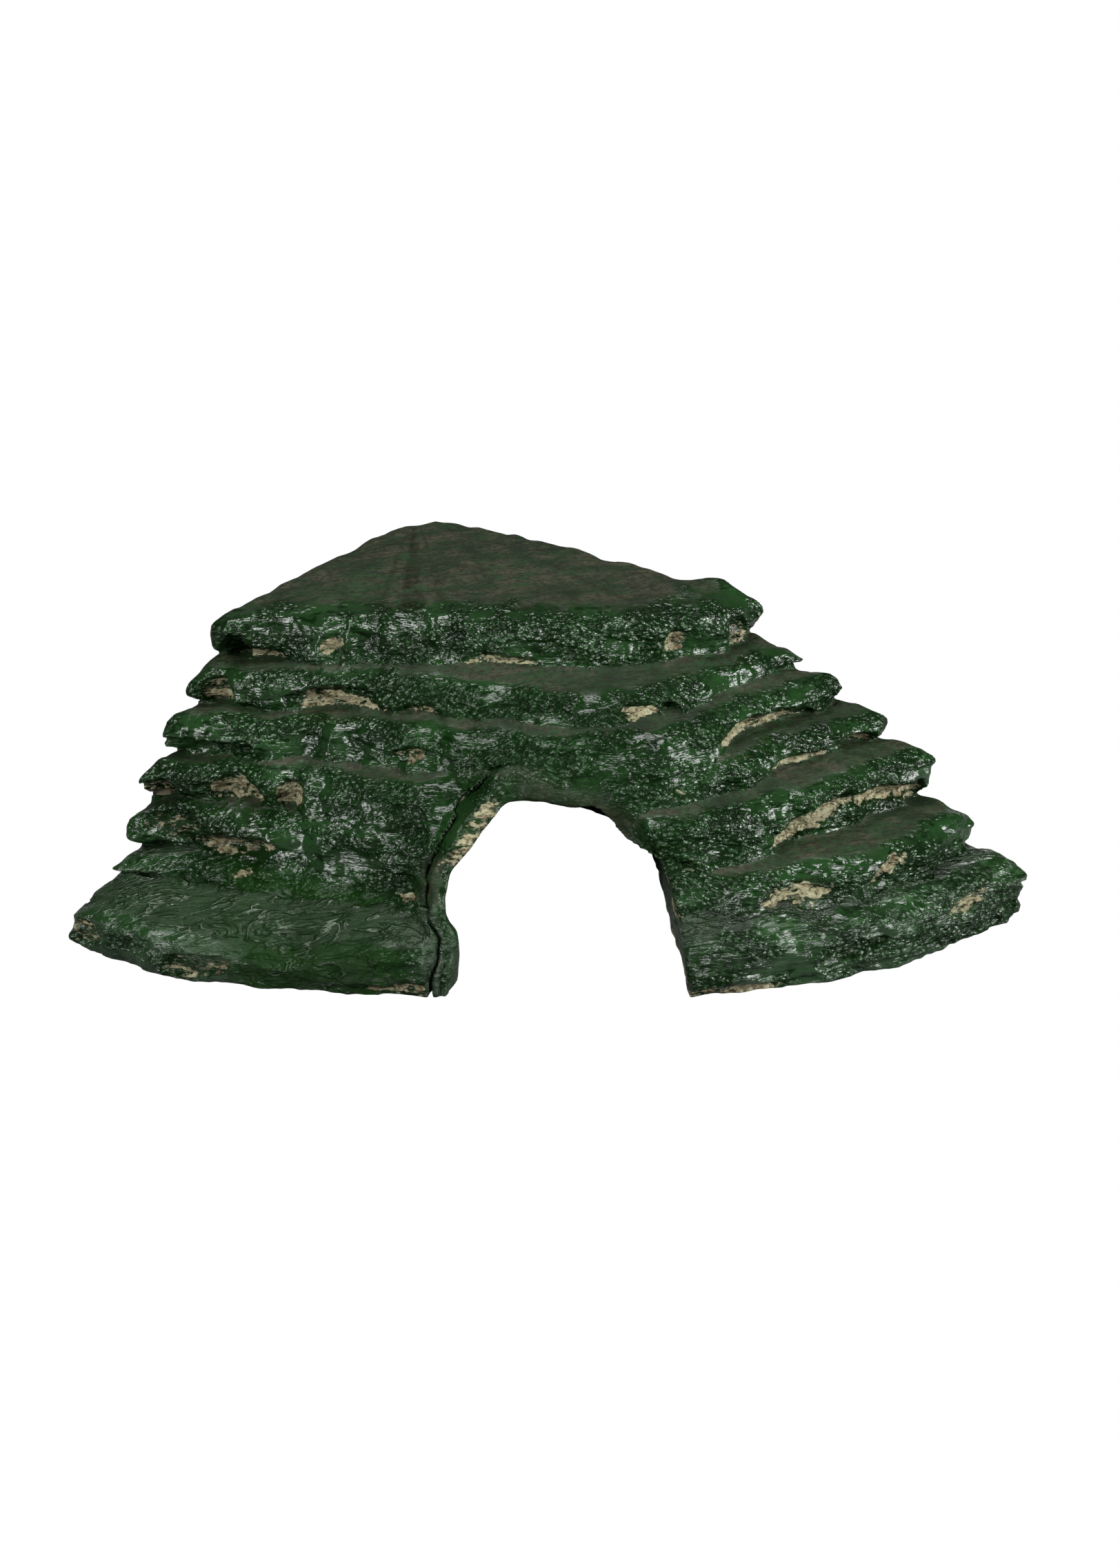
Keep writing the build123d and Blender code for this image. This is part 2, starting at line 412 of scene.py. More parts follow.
def hollows_of(ledge, bearing, reach, z, ragged):
    """Depth carved from a ledge's riser by its hollows, and the share of its paint that is gone, held
    back from the upper part of each hollow as painted shade.
    """
    carve = np.zeros(len(z), np.float32)
    missing = np.zeros(len(z), np.float32)
    for of, centre, height, half_length, half_height, deep, tilt, worn in HOLLOWS:
        if of != ledge:
            continue
        arc = np.radians(bearing - centre) * reach
        rise = z - height - tilt * arc
        left = 1 - (arc / half_length) ** 2 - (rise / half_height) ** 2 + ragged
        carve = np.maximum(carve, deep * np.sqrt(np.clip(left, 0, 1)))
        # The upper part of each hollow keeps its dark green paint as painted shade under the overhang.
        floor = left - 0.6 * np.maximum(rise / half_height, 0)
        missing = np.maximum(missing, worn * smooth((floor + 0.05) * 2.5))
    return carve, missing


PLATY = np.array([0.33, 0.33, 1.0], np.float32)    # draws noise out level, as in bedded rock


def sculpted(points):
    """The rock's outer surface, and masks for its paint: bare resin, tread and depth of recess."""
    bearing, reach = polar(points)
    z = points[:, 2]
    wander = 1.6 * lumps(points, 28, 40)
    chunk = lumps(points, 8.5, 11)
    medium = lumps(points, 3.8, 23)
    fine = lumps(points, 2.0, 31)
    platy = lumps(points * PLATY, 6.0, 37)
    thin = lumps(points * PLATY, 2.8, 43)
    beds = layered(bearing, z + wander, 3.0, 17, 2.5) + 0.5 * layered(bearing, z - wander, 1.6, 9, 8.5)
    slate = smooth((bearing - 8) / 10) * smooth((24 - z) / 6)
    beds = beds * (1 + 0.9 * slate)
    rough = (1.0 - 0.4 * slate) * chunk + 0.6 * medium + 0.45 * fine
    rough = rough + 0.9 * beds + 1.2 * platy + 0.8 * thin
    ragged = 0.45 * chunk + 0.3 * medium
    field = np.full(len(points), FAR, np.float32)
    bare = np.zeros(len(points), np.float32)
    tread = np.zeros(len(points), np.float32)
    recess = np.zeros(len(points), np.float32)
    for ledge in range(LEDGE_COUNT):
        high = np.interp(bearing, BEARINGS, TREAD[ledge])
        low = np.interp(bearing, BEARINGS, TREAD[ledge + 1]) if ledge < BASE else 0 * high
        near = np.flatnonzero((z < high + 6) & (z > low - 6))
        if not len(near):
            continue
        b, r, zn = bearing[near], reach[near], z[near]
        edge, overhang, nose, droop = (np.interp(b, FINE_BEARINGS, t) for t in LEDGE_TABLES[ledge])
        top = tread_height(ledge, points[near], b)
        riser = np.maximum(top - low[near], 4)
        depth = top - zn
        share = np.clip(depth / riser, 0, 1.1)
        nose = np.minimum(nose, 0.68 * riser)
        depth = depth - droop * smooth(1 - (edge - r) / DROOP_WIDTH[ledge])
        turn = np.clip(1 - depth / nose, 0, 1)
        start = np.interp(b, *UNDERCUT_START)
        under = np.clip((share - start) / (1 - start), 0, 1.05)
        under = np.where(overhang > 0, under * under, smooth(under))
        inset = overhang * under + nose * (1 - np.sqrt(1 - turn * turn))
        carve, missing = hollows_of(ledge, b, r, zn, ragged[near])
        away = np.clip(depth / 2.5, 0, 1)
        beyond = r - edge + inset + carve - rough[near] * (0.3 + 0.7 * away)
        above = -depth - 0.10 * medium[near] - 0.05 * fine[near]
        own = np.maximum(beyond, above)
        old = field[near]
        nearest = own < old
        field[near] = soft_min(own, old, np.interp(b, *FILLET))
        fringe = 14 if ledge == PLATFORM else 4.5
        flat = smooth((above - beyond) / fringe - 0.3 + 0.4 * (medium + chunk)[near])
        if ledge == BASE:
            flat = np.maximum(flat, 0.5 * smooth((-11 - b) / 4) * smooth((b + 33) / 5))
        missing = missing * np.clip(depth / 2 - 0.3, 0, 1)
        bare[near] = np.where(nearest, missing, bare[near])
        tread[near] = np.where(nearest, flat, tread[near])
        recess[near] = np.where(nearest, inset + carve - 0.8 * beds[near], recess[near])
    guard = plain_steps(points, SKIN + 2.0, WALL - 3) + 0.5 * medium
    return soft_min(field, guard, 3.0), bare, tread, recess


# ---------- the mouth's rim

RIM_FRONT = ((0, 12, 26, 39, 48, 58), (-190, -185, -174.5, -166.5, -161, -154.5))    # height, y


def rim_front(points):
    """Distance in front of the leaning band of rock that runs round the cave mouth."""
    ahead = np.interp(points[:, 2], *RIM_FRONT) - points[:, 1]
    grainy = 0.9 * lumps(points, 9, 51) + 0.5 * lumps(points, 3.5, 53)
    return ahead * 0.85 - grainy - 0.7 * lumps(points * PLATY, 5.0, 57)


def outer_surface(points, cave):
    """The sculpted rock, smoothed into the rim near the cave mouth's left side and crown."""
    field, bare, tread, recess = sculpted(points)
    x, y, z = points.T
    leftward = smooth((24 - x) / 14)
    jamb = smooth((4 - x) / 10)
    crown = smooth((z - 30) / 9)
    # The band is widest over the crown and narrowest down the right-hand side.
    widen = crown * (1 - jamb)
    outer = LINER_WALL + 4.5 + 3.0 * widen - 2.0 * smooth((x - 16) / 10)
    rim = np.maximum(leftward, crown) * smooth((outer - cave) / (4.5 + 4.0 * widen))
    rim = rim * smooth((-120 - y) / 12)
    # A thin second crack and a glossy strip run down the foot of the left jamb; the strip is lightened
    # as a painted highlight.
    low_jamb = jamb * smooth((38 - z) / 4)
    groove = 1.1 * low_jamb * np.exp(-((cave - 2.4 - 0.5 * lumps(points, 7, 59)) / 0.5) ** 2)
    strip = low_jamb * smooth((cave - 2.6) / 0.4)
    field = field * (1 - rim) + (rim_front(points) + groove) * rim
    # Painted shade over the crown, where the rock is also smoother; a bare lip on its left and a thin
    # bare cut on its right.
    crown_shade = crown * smooth((9 - cave) / 6) * smooth((x - 2) / 6) * smooth((46 - x) / 8)
    lip = smooth((6.0 - cave) / 1.6) * smooth((z - 31) / 4) * smooth((1 - x) / 4)
    cut = 0.7 * smooth((0.8 - cave) / 0.5) * smooth((x - 30) / 5) * smooth((z - 24) / 6)
    bare = bare * (1 - rim) + 0.75 * np.maximum(lip, cut) * (cave > -1.2)
    # Painted highlight: the tread mask lightens and smooths the strip down the left jamb.
    tread = tread * (1 - rim) + (0.1 + 0.8 * strip) * rim
    tread = np.maximum(tread, 0.6 * crown_shade)
    recess = recess * (1 - rim) + 3 * rim + 6 * crown_shade
    return field, bare, tread, recess, rim


def joint_above(points, bearing, reach, lower, upper):
    """Positive in the rock above the crack at a ledge's tread, under the ledge that stands on it."""
    rise = points[:, 2] - tread_height(lower, points, bearing)
    return np.minimum(rise, np.interp(bearing, BEARINGS, REACH[upper]) + 4.0 - reach)


def back_panel_space(points, clearance):
    """The pocket in the back of the castings that a back panel fills."""
    filling = plain_steps(points, SKIN - clearance, WALL - clearance)
    return np.maximum(filling, -past_backs(points) - BACK_WALL - clearance)


def rock_piece(points, name):
    """The field of one of the four rock castings or of the cave's lining, with its paint masks."""
    bearing, reach = polar(points)
    x, y, z = points.T
    cave = outside_cave(points) - 0.8 * lumps(points, 14, 71) - 0.45 * lumps(points, 5, 73)
    # The left jamb's foot bulges into the mouth, and so does the rock over the crown.
    cave = cave + 4.0 * smooth((22 - z) / 8) * smooth((-2 - x) / 10) * smooth(1 - np.abs(y + 177) / 12)
    parting = cave - LINER_WALL + 0.8 * lumps(points, 11, 83) + 0.4 * lumps(points, 4, 85)
    inward = 2.5 + 4.5 * smooth((x - 6) / 26)
    cave = cave + inward * smooth((z - 33) / 6) * smooth((-138 - y) / 8)
    field, bare, tread, recess, rim = outer_surface(points, cave)
    depth = -field
    back = past_backs(points) + 0.15 * lumps(points, 6, 61)
    field = soft_max(field, back, 4.5)
    # The crack round the lining gapes on the left jamb; elsewhere the rock laps over it.
    gape = rim * smooth((4 - x) / 10) * (0.5 + 0.5 * smooth(2 * lumps(points, 17, 87) + 0.6))
    overlap = 0.25 + 0.9 * smooth((3.0 - depth) / 1.5) * (gape < 0.1)
    gape = gape * (0.5 + 1.0 * np.clip(1 - depth / 4.5, 0, 1)) - overlap
    if name == "cave_liner":
        field = soft_max(field, -cave, 1.8)
        field = soft_max(field, parting + gape, np.where(gape > 0.3, 1.0, 0.2))
    else:
        field = soft_max(field, gape - parting, np.where(gape > 0.3, 1.2, 0.2))
        hollow = plain_steps(points, SKIN + 4.5, WALL) + 0.5 * lumps(points, 6, 91)
        field = np.maximum(field, -hollow)
        field = np.maximum(field, -back_panel_space(points, GLUE))
    # Joints between castings are a glue line inside, and painted over at the surface.
    seam = GLUE - 1.2 * smooth((3.0 - depth) / 1.5)
    if name == "platform_slab":
        field = np.maximum(field, seam - joint_above(points, bearing, reach, SECOND, PLATFORM))
    elif name == "bridge_ledges":
        field = np.maximum(field, joint_above(points, bearing, reach, SECOND, PLATFORM))
        field = np.maximum(field, seam - joint_above(points, bearing, reach, FOURTH, THIRD))
    elif name != "cave_liner":
        field = np.maximum(field, joint_above(points, bearing, reach, FOURTH, THIRD))
        side = 1 if name == "right_flank" else -1
        field = np.maximum(field, side * (12.0 - x))
    field = soft_max(field, -z, 1.0)
    inner = smooth((-0.8 - back) / 1.0) * smooth((depth - 1.5) / 1.5)
    if name == "cave_liner":
        inner = inner * smooth((parting + 1.8) / 0.8) * (plain_steps(points, 4, 3) < 0)
    else:
        inner = inner * smooth((1.6 - hollow) / 0.8)
    return field, {"bare": bare, "tread": tread, "recess": recess, "inner": inner}


def panel_piece(points, name):
    """A flat back panel: slightly wavy inside, flat where it faces the glass."""
    left, right, corner = backs(points)
    filling = plain_steps(points, SKIN + GLUE, WALL + GLUE)
    outside = past_backs(points)
    own = left if name == "left_back_wall" else right
    inner = np.minimum(-own, -corner - 1) - BACK_WALL + 0.4 * lumps(points, 12, 97)
    field = soft_max(filling, inner, 1.0)
    field = soft_max(field, outside + 0.06 * lumps(points, 5, 99), 0.8)
    side = -1 if name == "left_back_wall" else 1
    field = np.maximum(field, GLUE / 2 - side * points[:, 0])
    field = soft_max(field, -points[:, 2], 0.8)
    return field, {"depth": -outside}


# ---------- meshing

EDGES = [(a, b) for a in np.ndindex(2, 2, 2) for b in np.ndindex(2, 2, 2)
         if sum(b) - sum(a) == 1 and all(y >= x for x, y in zip(a, b))]


def surface_nets(field):
    """Quads round the zero level of a grid of field values: vertices in grid steps, and faces."""
    inside = field < 0
    count = np.zeros([n - 1 for n in field.shape], np.int8)
    for corner in np.ndindex(2, 2, 2):
        count += inside[tuple(slice(c, c + n) for c, n in zip(corner, count.shape))]
    active = (count > 0) & (count < 8)
    cells = np.argwhere(active)
    number = np.full(active.shape, -1, np.int32)
    number[active] = np.arange(len(cells))
    value = {c: field[tuple((cells + c).T)] for c in np.ndindex(2, 2, 2)}
    place = np.zeros((len(cells), 3))
    crossings = np.zeros(len(cells))
    for a, b in EDGES:
        va, vb = value[a], value[b]
        crosses = (va < 0) != (vb < 0)
        t = np.where(crosses, va / np.where(va == vb, 1, va - vb), 0)
        here = np.array(a) + t[:, None] * (np.array(b) - np.array(a))
        place += here * crosses[:, None]
        crossings += crosses
    vertices = cells + place / crossings[:, None]
    quads = []
    for axis in range(3):
        u, v = (axis + 1) % 3, (axis + 2) % 3
        low = np.take(inside, range(field.shape[axis] - 1), axis)
        high = np.take(inside, range(1, field.shape[axis]), axis)
        found = np.argwhere(low != high)
        found = found[(found[:, u] > 0) & (found[:, v] > 0)]
        found = found[(found[:, u] < number.shape[u]) & (found[:, v] < number.shape[v])]
        back_u, back_v = np.eye(3, dtype=int)[u], np.eye(3, dtype=int)[v]
        ring = [number[tuple((found - a).T)] for a in (back_u + back_v, back_v, 0 * back_u, back_u)]
        ring = np.stack(ring, 1)
        outward = inside[tuple(found.T)]
        ring[~outward] = ring[~outward][:, ::-1]
        quads.append(ring)
    return vertices, np.concatenate(quads)


def main_parts(vertices, quads, smallest):
    """Drops crumbs that aren't joined to a body of a fair size."""
    label = np.arange(len(vertices))
    starts = quads.ravel()
    ends = np.roll(quads, -1, axis=1).ravel()
    while True:
        low = np.minimum(label[starts], label[ends])
        better = label.copy()
        np.minimum.at(better, starts, low)
        np.minimum.at(better, ends, low)
        better = better[better]
        if (better == label).all():
            break
        label = better
    keep = np.bincount(label)[label] >= smallest
    renumber = np.cumsum(keep) - 1
    return keep, renumber[quads[keep[quads[:, 0]]]]


def mesh_object(name, points, quads, masks):
    """A Blender mesh in the row frame, with the paint masks as point attributes."""
    mesh = bpy.data.meshes.new(name)
    mesh.vertices.add(len(points))
    mesh.vertices.foreach_set("co", ((points + CORNER) / MM).astype(np.float32).ravel())
    mesh.loops.add(quads.size)
    mesh.loops.foreach_set("vertex_index", quads.astype(np.int32).ravel())
    mesh.polygons.add(len(quads))
    mesh.polygons.foreach_set("loop_start", np.arange(0, quads.size, 4, dtype=np.int32))
    mesh.polygons.foreach_set("use_smooth", np.ones(len(quads), bool))
    mesh.update(calc_edges=True)
    mesh.validate()
    for key, values in masks.items():
        attribute = mesh.attributes.new(key, "FLOAT", "POINT")
        attribute.data.foreach_set("value", values.astype(np.float32))
    piece = bpy.data.objects.new(name, mesh)
    bpy.context.scene.collection.objects.link(piece)
    return piece


def rock_estimate(points, name):
    """A cheap field, true to a few millimetres, that shows which grid points matter."""
    rock = plain_steps(points, -3.0, -3.0)
    far_back = past_backs(points) - 2
    if name == "cave_liner":
        cave = outside_cave(points)
        rim = np.maximum(points[:, 1] + 130, -cave - 8)
        return np.maximum.reduce([np.minimum(rock, rim), cave - LINER_WALL - 4, -cave - 5.5])
    return np.maximum.reduce([rock, far_back, -plain_steps(points, SKIN + 6.5, WALL + 2)])


def panel_estimate(points, name):
    left, right, corner = backs(points)
    own = left if name == "left_back_wall" else right
    return np.maximum(past_backs(points) - 2, np.minimum(-own, -corner - 1) - BACK_WALL - 3)


def build(name, node, piece_field, estimate):
    """Meshes one piece: a cheap estimate everywhere, and its full field wherever that matters."""
    low, high = node_bounds(node, 5.0)
    axes = [np.arange(a, b + GRID, GRID) for a, b in zip(low, high)]
    shape = [len(a) for a in axes]
    points = np.stack(np.meshgrid(*axes, indexing="ij"), -1).reshape(-1, 3).astype(np.float32)
    field = np.full(len(points), FAR, np.float32)
    near = np.flatnonzero(estimate(points, node) < 0.5)
    field[near] = piece_field(points[near], node)[0]
    field = field.reshape(shape)
    for axis in range(3):
        for end in (0, -1):
            index = [slice(None)] * 3
            index[axis] = end
            field[tuple(index)] = np.maximum(field[tuple(index)], 0.5)
    vertices, quads = surface_nets(field)
    keep, quads = main_parts(vertices, quads, SMALLEST_PART)
    places = (vertices[keep] * GRID + [a[0] for a in axes]).astype(np.float32)
    return mesh_object(name, places, quads, piece_field(places, node)[1])


def putty(points, node):
    """Soft lumps of putty that swell slightly round the CAD beads."""
    tree = tree_of([node])
    field = np.empty(len(points), np.float32)
    for i, point in enumerate(points.tolist()):
        place, normal, _, distance = tree.find_nearest(point)
        outward = (Vector(point) - place).dot(normal)
        field[i] = distance if outward > 0 else -distance
    field += 0.5 * lumps(points, 5, 103) + 0.25 * lumps(points, 2.5, 107)
    return field, {}


def putty_estimate(points, node):
    """Distance outside the nearest bead's bounding box, less a margin."""
    corners = node_points(node)
    nearest = np.full(len(points), FAR, np.float32)
    left = np.ones(len(corners), bool)
    while left.any():
        seed = corners[np.flatnonzero(left)[0]]
        bead = left & (np.linalg.norm((corners - seed)[:, :2], axis=1) < 25)
        low, high = corners[bead].min(0) - 1.5, corners[bead].max(0) + 1.5
        outside = np.maximum(low - points, points - high).max(1)
        nearest = np.minimum(nearest, outside)
        left &= ~bead
    return nearest


# ---------- materials

class Graph:
    """Small helper that builds a material's nodes; lengths in patterns are millimetres."""

    def __init__(self, name):
        self.material = bpy.data.materials.new(name)
        self.material.use_nodes = True
        self.nodes = self.material.node_tree.nodes
        self.links = self.material.node_tree.links
        self.shader = self.nodes["Principled BSDF"]
        place = self.nodes.new("ShaderNodeTexCoord")
        self.place = self.scaled(place.outputs["Object"], (MM, MM, MM))
        split = self.nodes.new("ShaderNodeSeparateXYZ")
        self.links.new(self.place, split.inputs[0])
        self.across, self.height = split.outputs["X"], split.outputs["Z"]

    def scaled(self, vector, factors):
        node = self.nodes.new("ShaderNodeVectorMath")
        node.operation = "MULTIPLY"
        self.links.new(vector, node.inputs[0])
        node.inputs[1].default_value = factors
        return node.outputs[0]

    def connect(self, value, socket):
        if isinstance(value, bpy.types.NodeSocket):
            self.links.new(value, socket)
        else:
            socket.default_value = value

    def math(self, operation, a, b=0.0, clamp=False):
        node = self.nodes.new("ShaderNodeMath")
        node.operation = operation
        node.use_clamp = clamp
        self.connect(a, node.inputs[0])
        self.connect(b, node.inputs[1])
        return node.outputs[0]

    def add(self, *values):
        total = values[0]
        for value in values[1:]:
            total = self.math("ADD", total, value)
        return total

    def times(self, *values):
        product = values[0]
        for value in values[1:]:
            product = self.math("MULTIPLY", product, value)
        return product

    def rest(self, value):
        """What a share leaves of 1."""
        return self.math("SUBTRACT", 1.0, value)

    def step(self, value, low, high):
        """Rises smoothly from 0 to 1 as the value goes from low to high."""
        node = self.nodes.new("ShaderNodeMapRange")
        node.interpolation_type = "SMOOTHSTEP"
        self.connect(value, node.inputs["Value"])
        node.inputs["From Min"].default_value = low
        node.inputs["From Max"].default_value = high
        return node.outputs["Result"]

    def attribute(self, name):
        node = self.nodes.new("ShaderNodeAttribute")
        node.attribute_name = name
        return node.outputs["Fac"]

    def noise(self, size, detail=3.0, roughness=0.55, stretch=(1, 1, 1), distortion=0.0, shift=0.0):
        """Noise whose lumps are about size millimetres across, drawn out along the stretched axes."""
        node = self.nodes.new("ShaderNodeTexNoise")
        node.noise_dimensions = "4D"
        place = self.scaled(self.place, tuple(1 / (size * s) for s in stretch))
        self.links.new(place, node.inputs["Vector"])
        node.inputs["W"].default_value = shift
        node.inputs["Scale"].default_value = 1.0
        node.inputs["Detail"].default_value = detail
        node.inputs["Roughness"].default_value = roughness
        node.inputs["Distortion"].default_value = distortion
        return node.outputs["Fac"]

    def grains(self, size, stretch=(1, 1, 1)):
        """Rounded grains: 0 in the gaps between them, about 1 on top of each."""
        node = self.nodes.new("ShaderNodeTexVoronoi")
        node.feature = "SMOOTH_F1"
        place = self.scaled(self.place, tuple(1 / (size * s) for s in stretch))
        self.links.new(place, node.inputs["Vector"])
        node.inputs["Scale"].default_value = 1.0
        node.inputs["Smoothness"].default_value = 0.35
        return self.math("SUBTRACT", 1.0, self.times(node.outputs["Distance"], 1.35), clamp=True)

    def mix(self, share, a, b):
        node = self.nodes.new("ShaderNodeMix")
        node.data_type = "RGBA"
        self.connect(share, node.inputs["Factor"])
        for value, socket in ((a, node.inputs[6]), (b, node.inputs[7])):
            self.connect(value if isinstance(value, bpy.types.NodeSocket) else (*value, 1), socket)
        return node.outputs[2]

    def blend(self, share, a, b):
        node = self.nodes.new("ShaderNodeMix")
        self.connect(share, node.inputs["Factor"])
        self.connect(a, node.inputs[2])
        self.connect(b, node.inputs[3])
        return node.outputs[0]

    def finish(self, colour, roughness, height, specular=0.5):
        """Height is millimetres of relief."""
        bump = self.nodes.new("ShaderNodeBump")
        bump.inputs["Distance"].default_value = 1 / MM
        bump.inputs["Strength"].default_value = 1.0
        self.connect(height, bump.inputs["Height"])
        self.links.new(bump.outputs["Normal"], self.shader.inputs["Normal"])
        self.connect(colour, self.shader.inputs["Base Color"])
        self.connect(roughness, self.shader.inputs["Roughness"])
        self.connect(specular, self.shader.inputs["Specular IOR Level"])
        return self.material


# Colours, linear; the gap colour is painted shade, and the worn, scuffed and near-black colours also
# serve as painted highlight or shade.
PAINT_DARK = (0.004, 0.017, 0.003)
PAINT = (0.014, 0.050, 0.012)
GAP_SHADE = (0.0025, 0.009, 0.002)
PAINT_WORN_AND_HIGHLIGHT = (0.060, 0.125, 0.055)
PAINT_DEEP = (0.007, 0.032, 0.004)
SCUFFED_AND_HIGHLIGHT = (0.20, 0.25, 0.19)
DUSTED = (0.054, 0.051, 0.031)
DUSTED_DARK = (0.010, 0.024, 0.007)
TAN = (0.37, 0.355, 0.225)
TAN_DARK = (0.19, 0.165, 0.09)
STAIN = (0.075, 0.045, 0.026)
DIRT_AND_SHADE = (0.010, 0.006, 0.004)
RAW_RESIN = (0.34, 0.30, 0.22)
PUTTY_DARK, PUTTY = (0.30, 0.26, 0.20), (0.46, 0.42, 0.34)

# Where the rock's paint changes: the two ends of a gradual change, in millimetres of the row frame.
BASE_LEDGE = (27.0, 21.0)                  # downwards
UNDER_PLATFORM = (78.0, 70.0)              # downwards
BELOW_TOP = (84.0, 78.0)                   # downwards
LEFT_FLANK = (-45.0, -60.0)                # to the left
# The smooth face and the middle get painted shade, and the slate face a painted highlight.
SMOOTH_FACE = (-106.0, -94.0)              # to the right
SLATE_FACE = (10.0, 40.0)                  # to the right
MIDDLE, MIDDLE_REACH = -5.0, (65.0, 25.0)  # inwards from both sides


def raw_resin(g):
    return g.mix(g.step(g.noise(7, 5, 0.6, shift=19.0), 0.3, 0.7), TAN_DARK, RAW_RESIN)


def rock_material(name, gloss):
    """Dark green paint over tan resin, rubbed grey on the treads and worn through in the hollows."""
    g = Graph(name)
    bare, tread, recess = g.attribute("bare"), g.attribute("tread"), g.attribute("recess")
    inner = g.attribute("inner")

    # Regions.
    riser = g.math("SUBTRACT", 1.0, tread, clamp=True)
    low = g.step(g.height, *BASE_LEDGE)
    left = g.step(g.across, *LEFT_FLANK)
    # The middle under the platform gets painted shade.
    off_middle = g.math("ABSOLUTE", g.add(g.across, -MIDDLE))
    middle = g.times(g.step(off_middle, *MIDDLE_REACH), g.step(g.height, *UNDER_PLATFORM))
    # The smooth face on the left of the base ledge gets painted shade.
    shaded_smooth_face = g.times(low, left, g.step(tread, 0.95, 0.6), g.step(g.across, *SMOOTH_FACE))

    # Patterns.
    blotch = g.noise(26, 4, 0.6)
    patch = g.noise(9, 4, 0.6, shift=3.0)
    streak = g.noise(2.2, 5, 0.68, (8, 1.3, 0.7), 0.5, shift=5.0)
    fine = g.noise(0.8, 3, 0.6, (3, 1, 0.7), shift=7.0)
    grain = g.grains(1.15, (1.5, 1.5, 0.95))
    crumbs = g.grains(0.7, (1.5, 1.5, 0.95))
    lump = g.noise(2.2, 1.5, 0.5, (2.0, 2.0, 0.8), 0.6, shift=9.0)
    bedding = g.noise(1.5, 3, 0.6, (6, 6, 0.6), 0.3, shift=15.0)
    wrinkle = g.noise(7, 3, 0.6, (3.0, 1.3, 0.8), 1.2, shift=27.0)
    wrinkle = g.math("ABSOLUTE", g.math("SUBTRACT", wrinkle, 0.5))
    ridge = g.times(g.step(wrinkle, 0.07, 0.0), low)
    scuffs_and_highlights = g.times(g.step(wrinkle, 0.022, 0.0), g.step(patch, 0.48, 0.60), low)
    crumbly = g.step(g.noise(11, 3, 0.55, (1.8, 1.8, 0.8), shift=21.0), 0.40, 0.54)
    facet = g.add(g.noise(15, 1.5, 0.5, (2.0, 2.0, 0.8), shift=31.0), g.times(low, 0.06))
    grainy = g.rest(g.times(g.step(facet, 0.59, 0.65), 0.85))
    specks = g.step(g.noise(1.1, 3, 0.7, (1.6, 1.6, 1), shift=33.0), 0.55, 0.40)
    scrape = g.noise(2.6, 5, 0.66, (2.6, 2.6, 0.8), 0.8, shift=13.0)
    pitted = g.noise(1.3, 3, 0.6, (1.6, 1.6, 1), 0.4, shift=23.0)
    chips = g.noise(4.5, 5, 0.65, (2.0, 2.0, 0.7), 0.5, shift=18.5)

    # Paint on the risers: worn on top of the grains, with painted shade in the gaps between them.
    paint = g.mix(g.step(blotch, 0.35, 0.65), PAINT_DARK, PAINT)
    paint = g.mix(g.times(g.step(patch, 0.35, 0.75), 0.6), paint, PAINT)
    tops = g.times(g.step(grain, 0.4, 0.85), g.step(lump, 0.45, 0.62), grainy)
    # Fewer worn grain tops in the middle, as part of its painted shade.
    rubbed_off_less_in_shade = g.times(g.add(0.12, g.times(crumbly, 0.36)), g.rest(g.times(middle, 0.7)))
    paint = g.mix(g.times(tops, riser, rubbed_off_less_in_shade), paint, PAINT_WORN_AND_HIGHLIGHT)
    # Painted highlight: lighter beds on the slate of the base ledge's right side.
    slate = g.times(low, g.step(g.across, *SLATE_FACE), g.step(bedding, 0.5, 0.62))
    paint = g.mix(g.times(slate, riser, 0.4), paint, PAINT_WORN_AND_HIGHLIGHT)
    gaps = g.math("MAXIMUM", g.step(lump, 0.46, 0.34), g.times(g.step(grain, 0.55, 0.2), crumbly))
    gaps = g.times(gaps, riser, grainy)
    # Painted shade: the gaps between the grains are darkened.
    paint = g.mix(g.times(gaps, 0.8), paint, GAP_SHADE)
    # Painted shade on the base ledge's smooth left face.
    paint = g.mix(g.times(shaded_smooth_face, 0.8), paint, PAINT_DEEP)
    # Painted shade: the risers in the middle under the platform are darkened.
    paint = g.mix(g.times(middle, riser, 0.3), paint, PAINT_DARK)

    # Dry-brushed dust on the treads, thin on the base ledge, whose left side has scuff marks with
    # painted highlights along its ridges.
    dusty = g.step(g.add(g.times(streak, 0.6), g.times(patch, 0.45)), 0.42, 0.66)
    dust = g.mix(dusty, DUSTED_DARK, DUSTED)
    cover = g.step(g.add(g.times(streak, 0.6), g.times(patch, 0.6)), 0.45, 0.70)
    darker = g.times(g.step(g.height, *BELOW_TOP), g.step(blotch, 0.56, 0.42))
    cover = g.times(cover, g.blend(low, 0.9, 0.12), g.rest(g.times(darker, 0.8)))
    paint = g.mix(g.times(cover, tread), paint, dust)
    paint = g.mix(g.times(specks, tread, g.blend(low, 0.65, 0.35)), paint, DIRT_AND_SHADE)
    paint = g.mix(g.times(left, low, tread, 0.45), paint, PAINT_DEEP)
    # Scuff marks and painted highlights along the ridges of the base ledge's left tread.
    paint = g.mix(g.times(scuffs_and_highlights, left, tread, 0.8), paint, SCUFFED_AND_HIGHLIGHT)

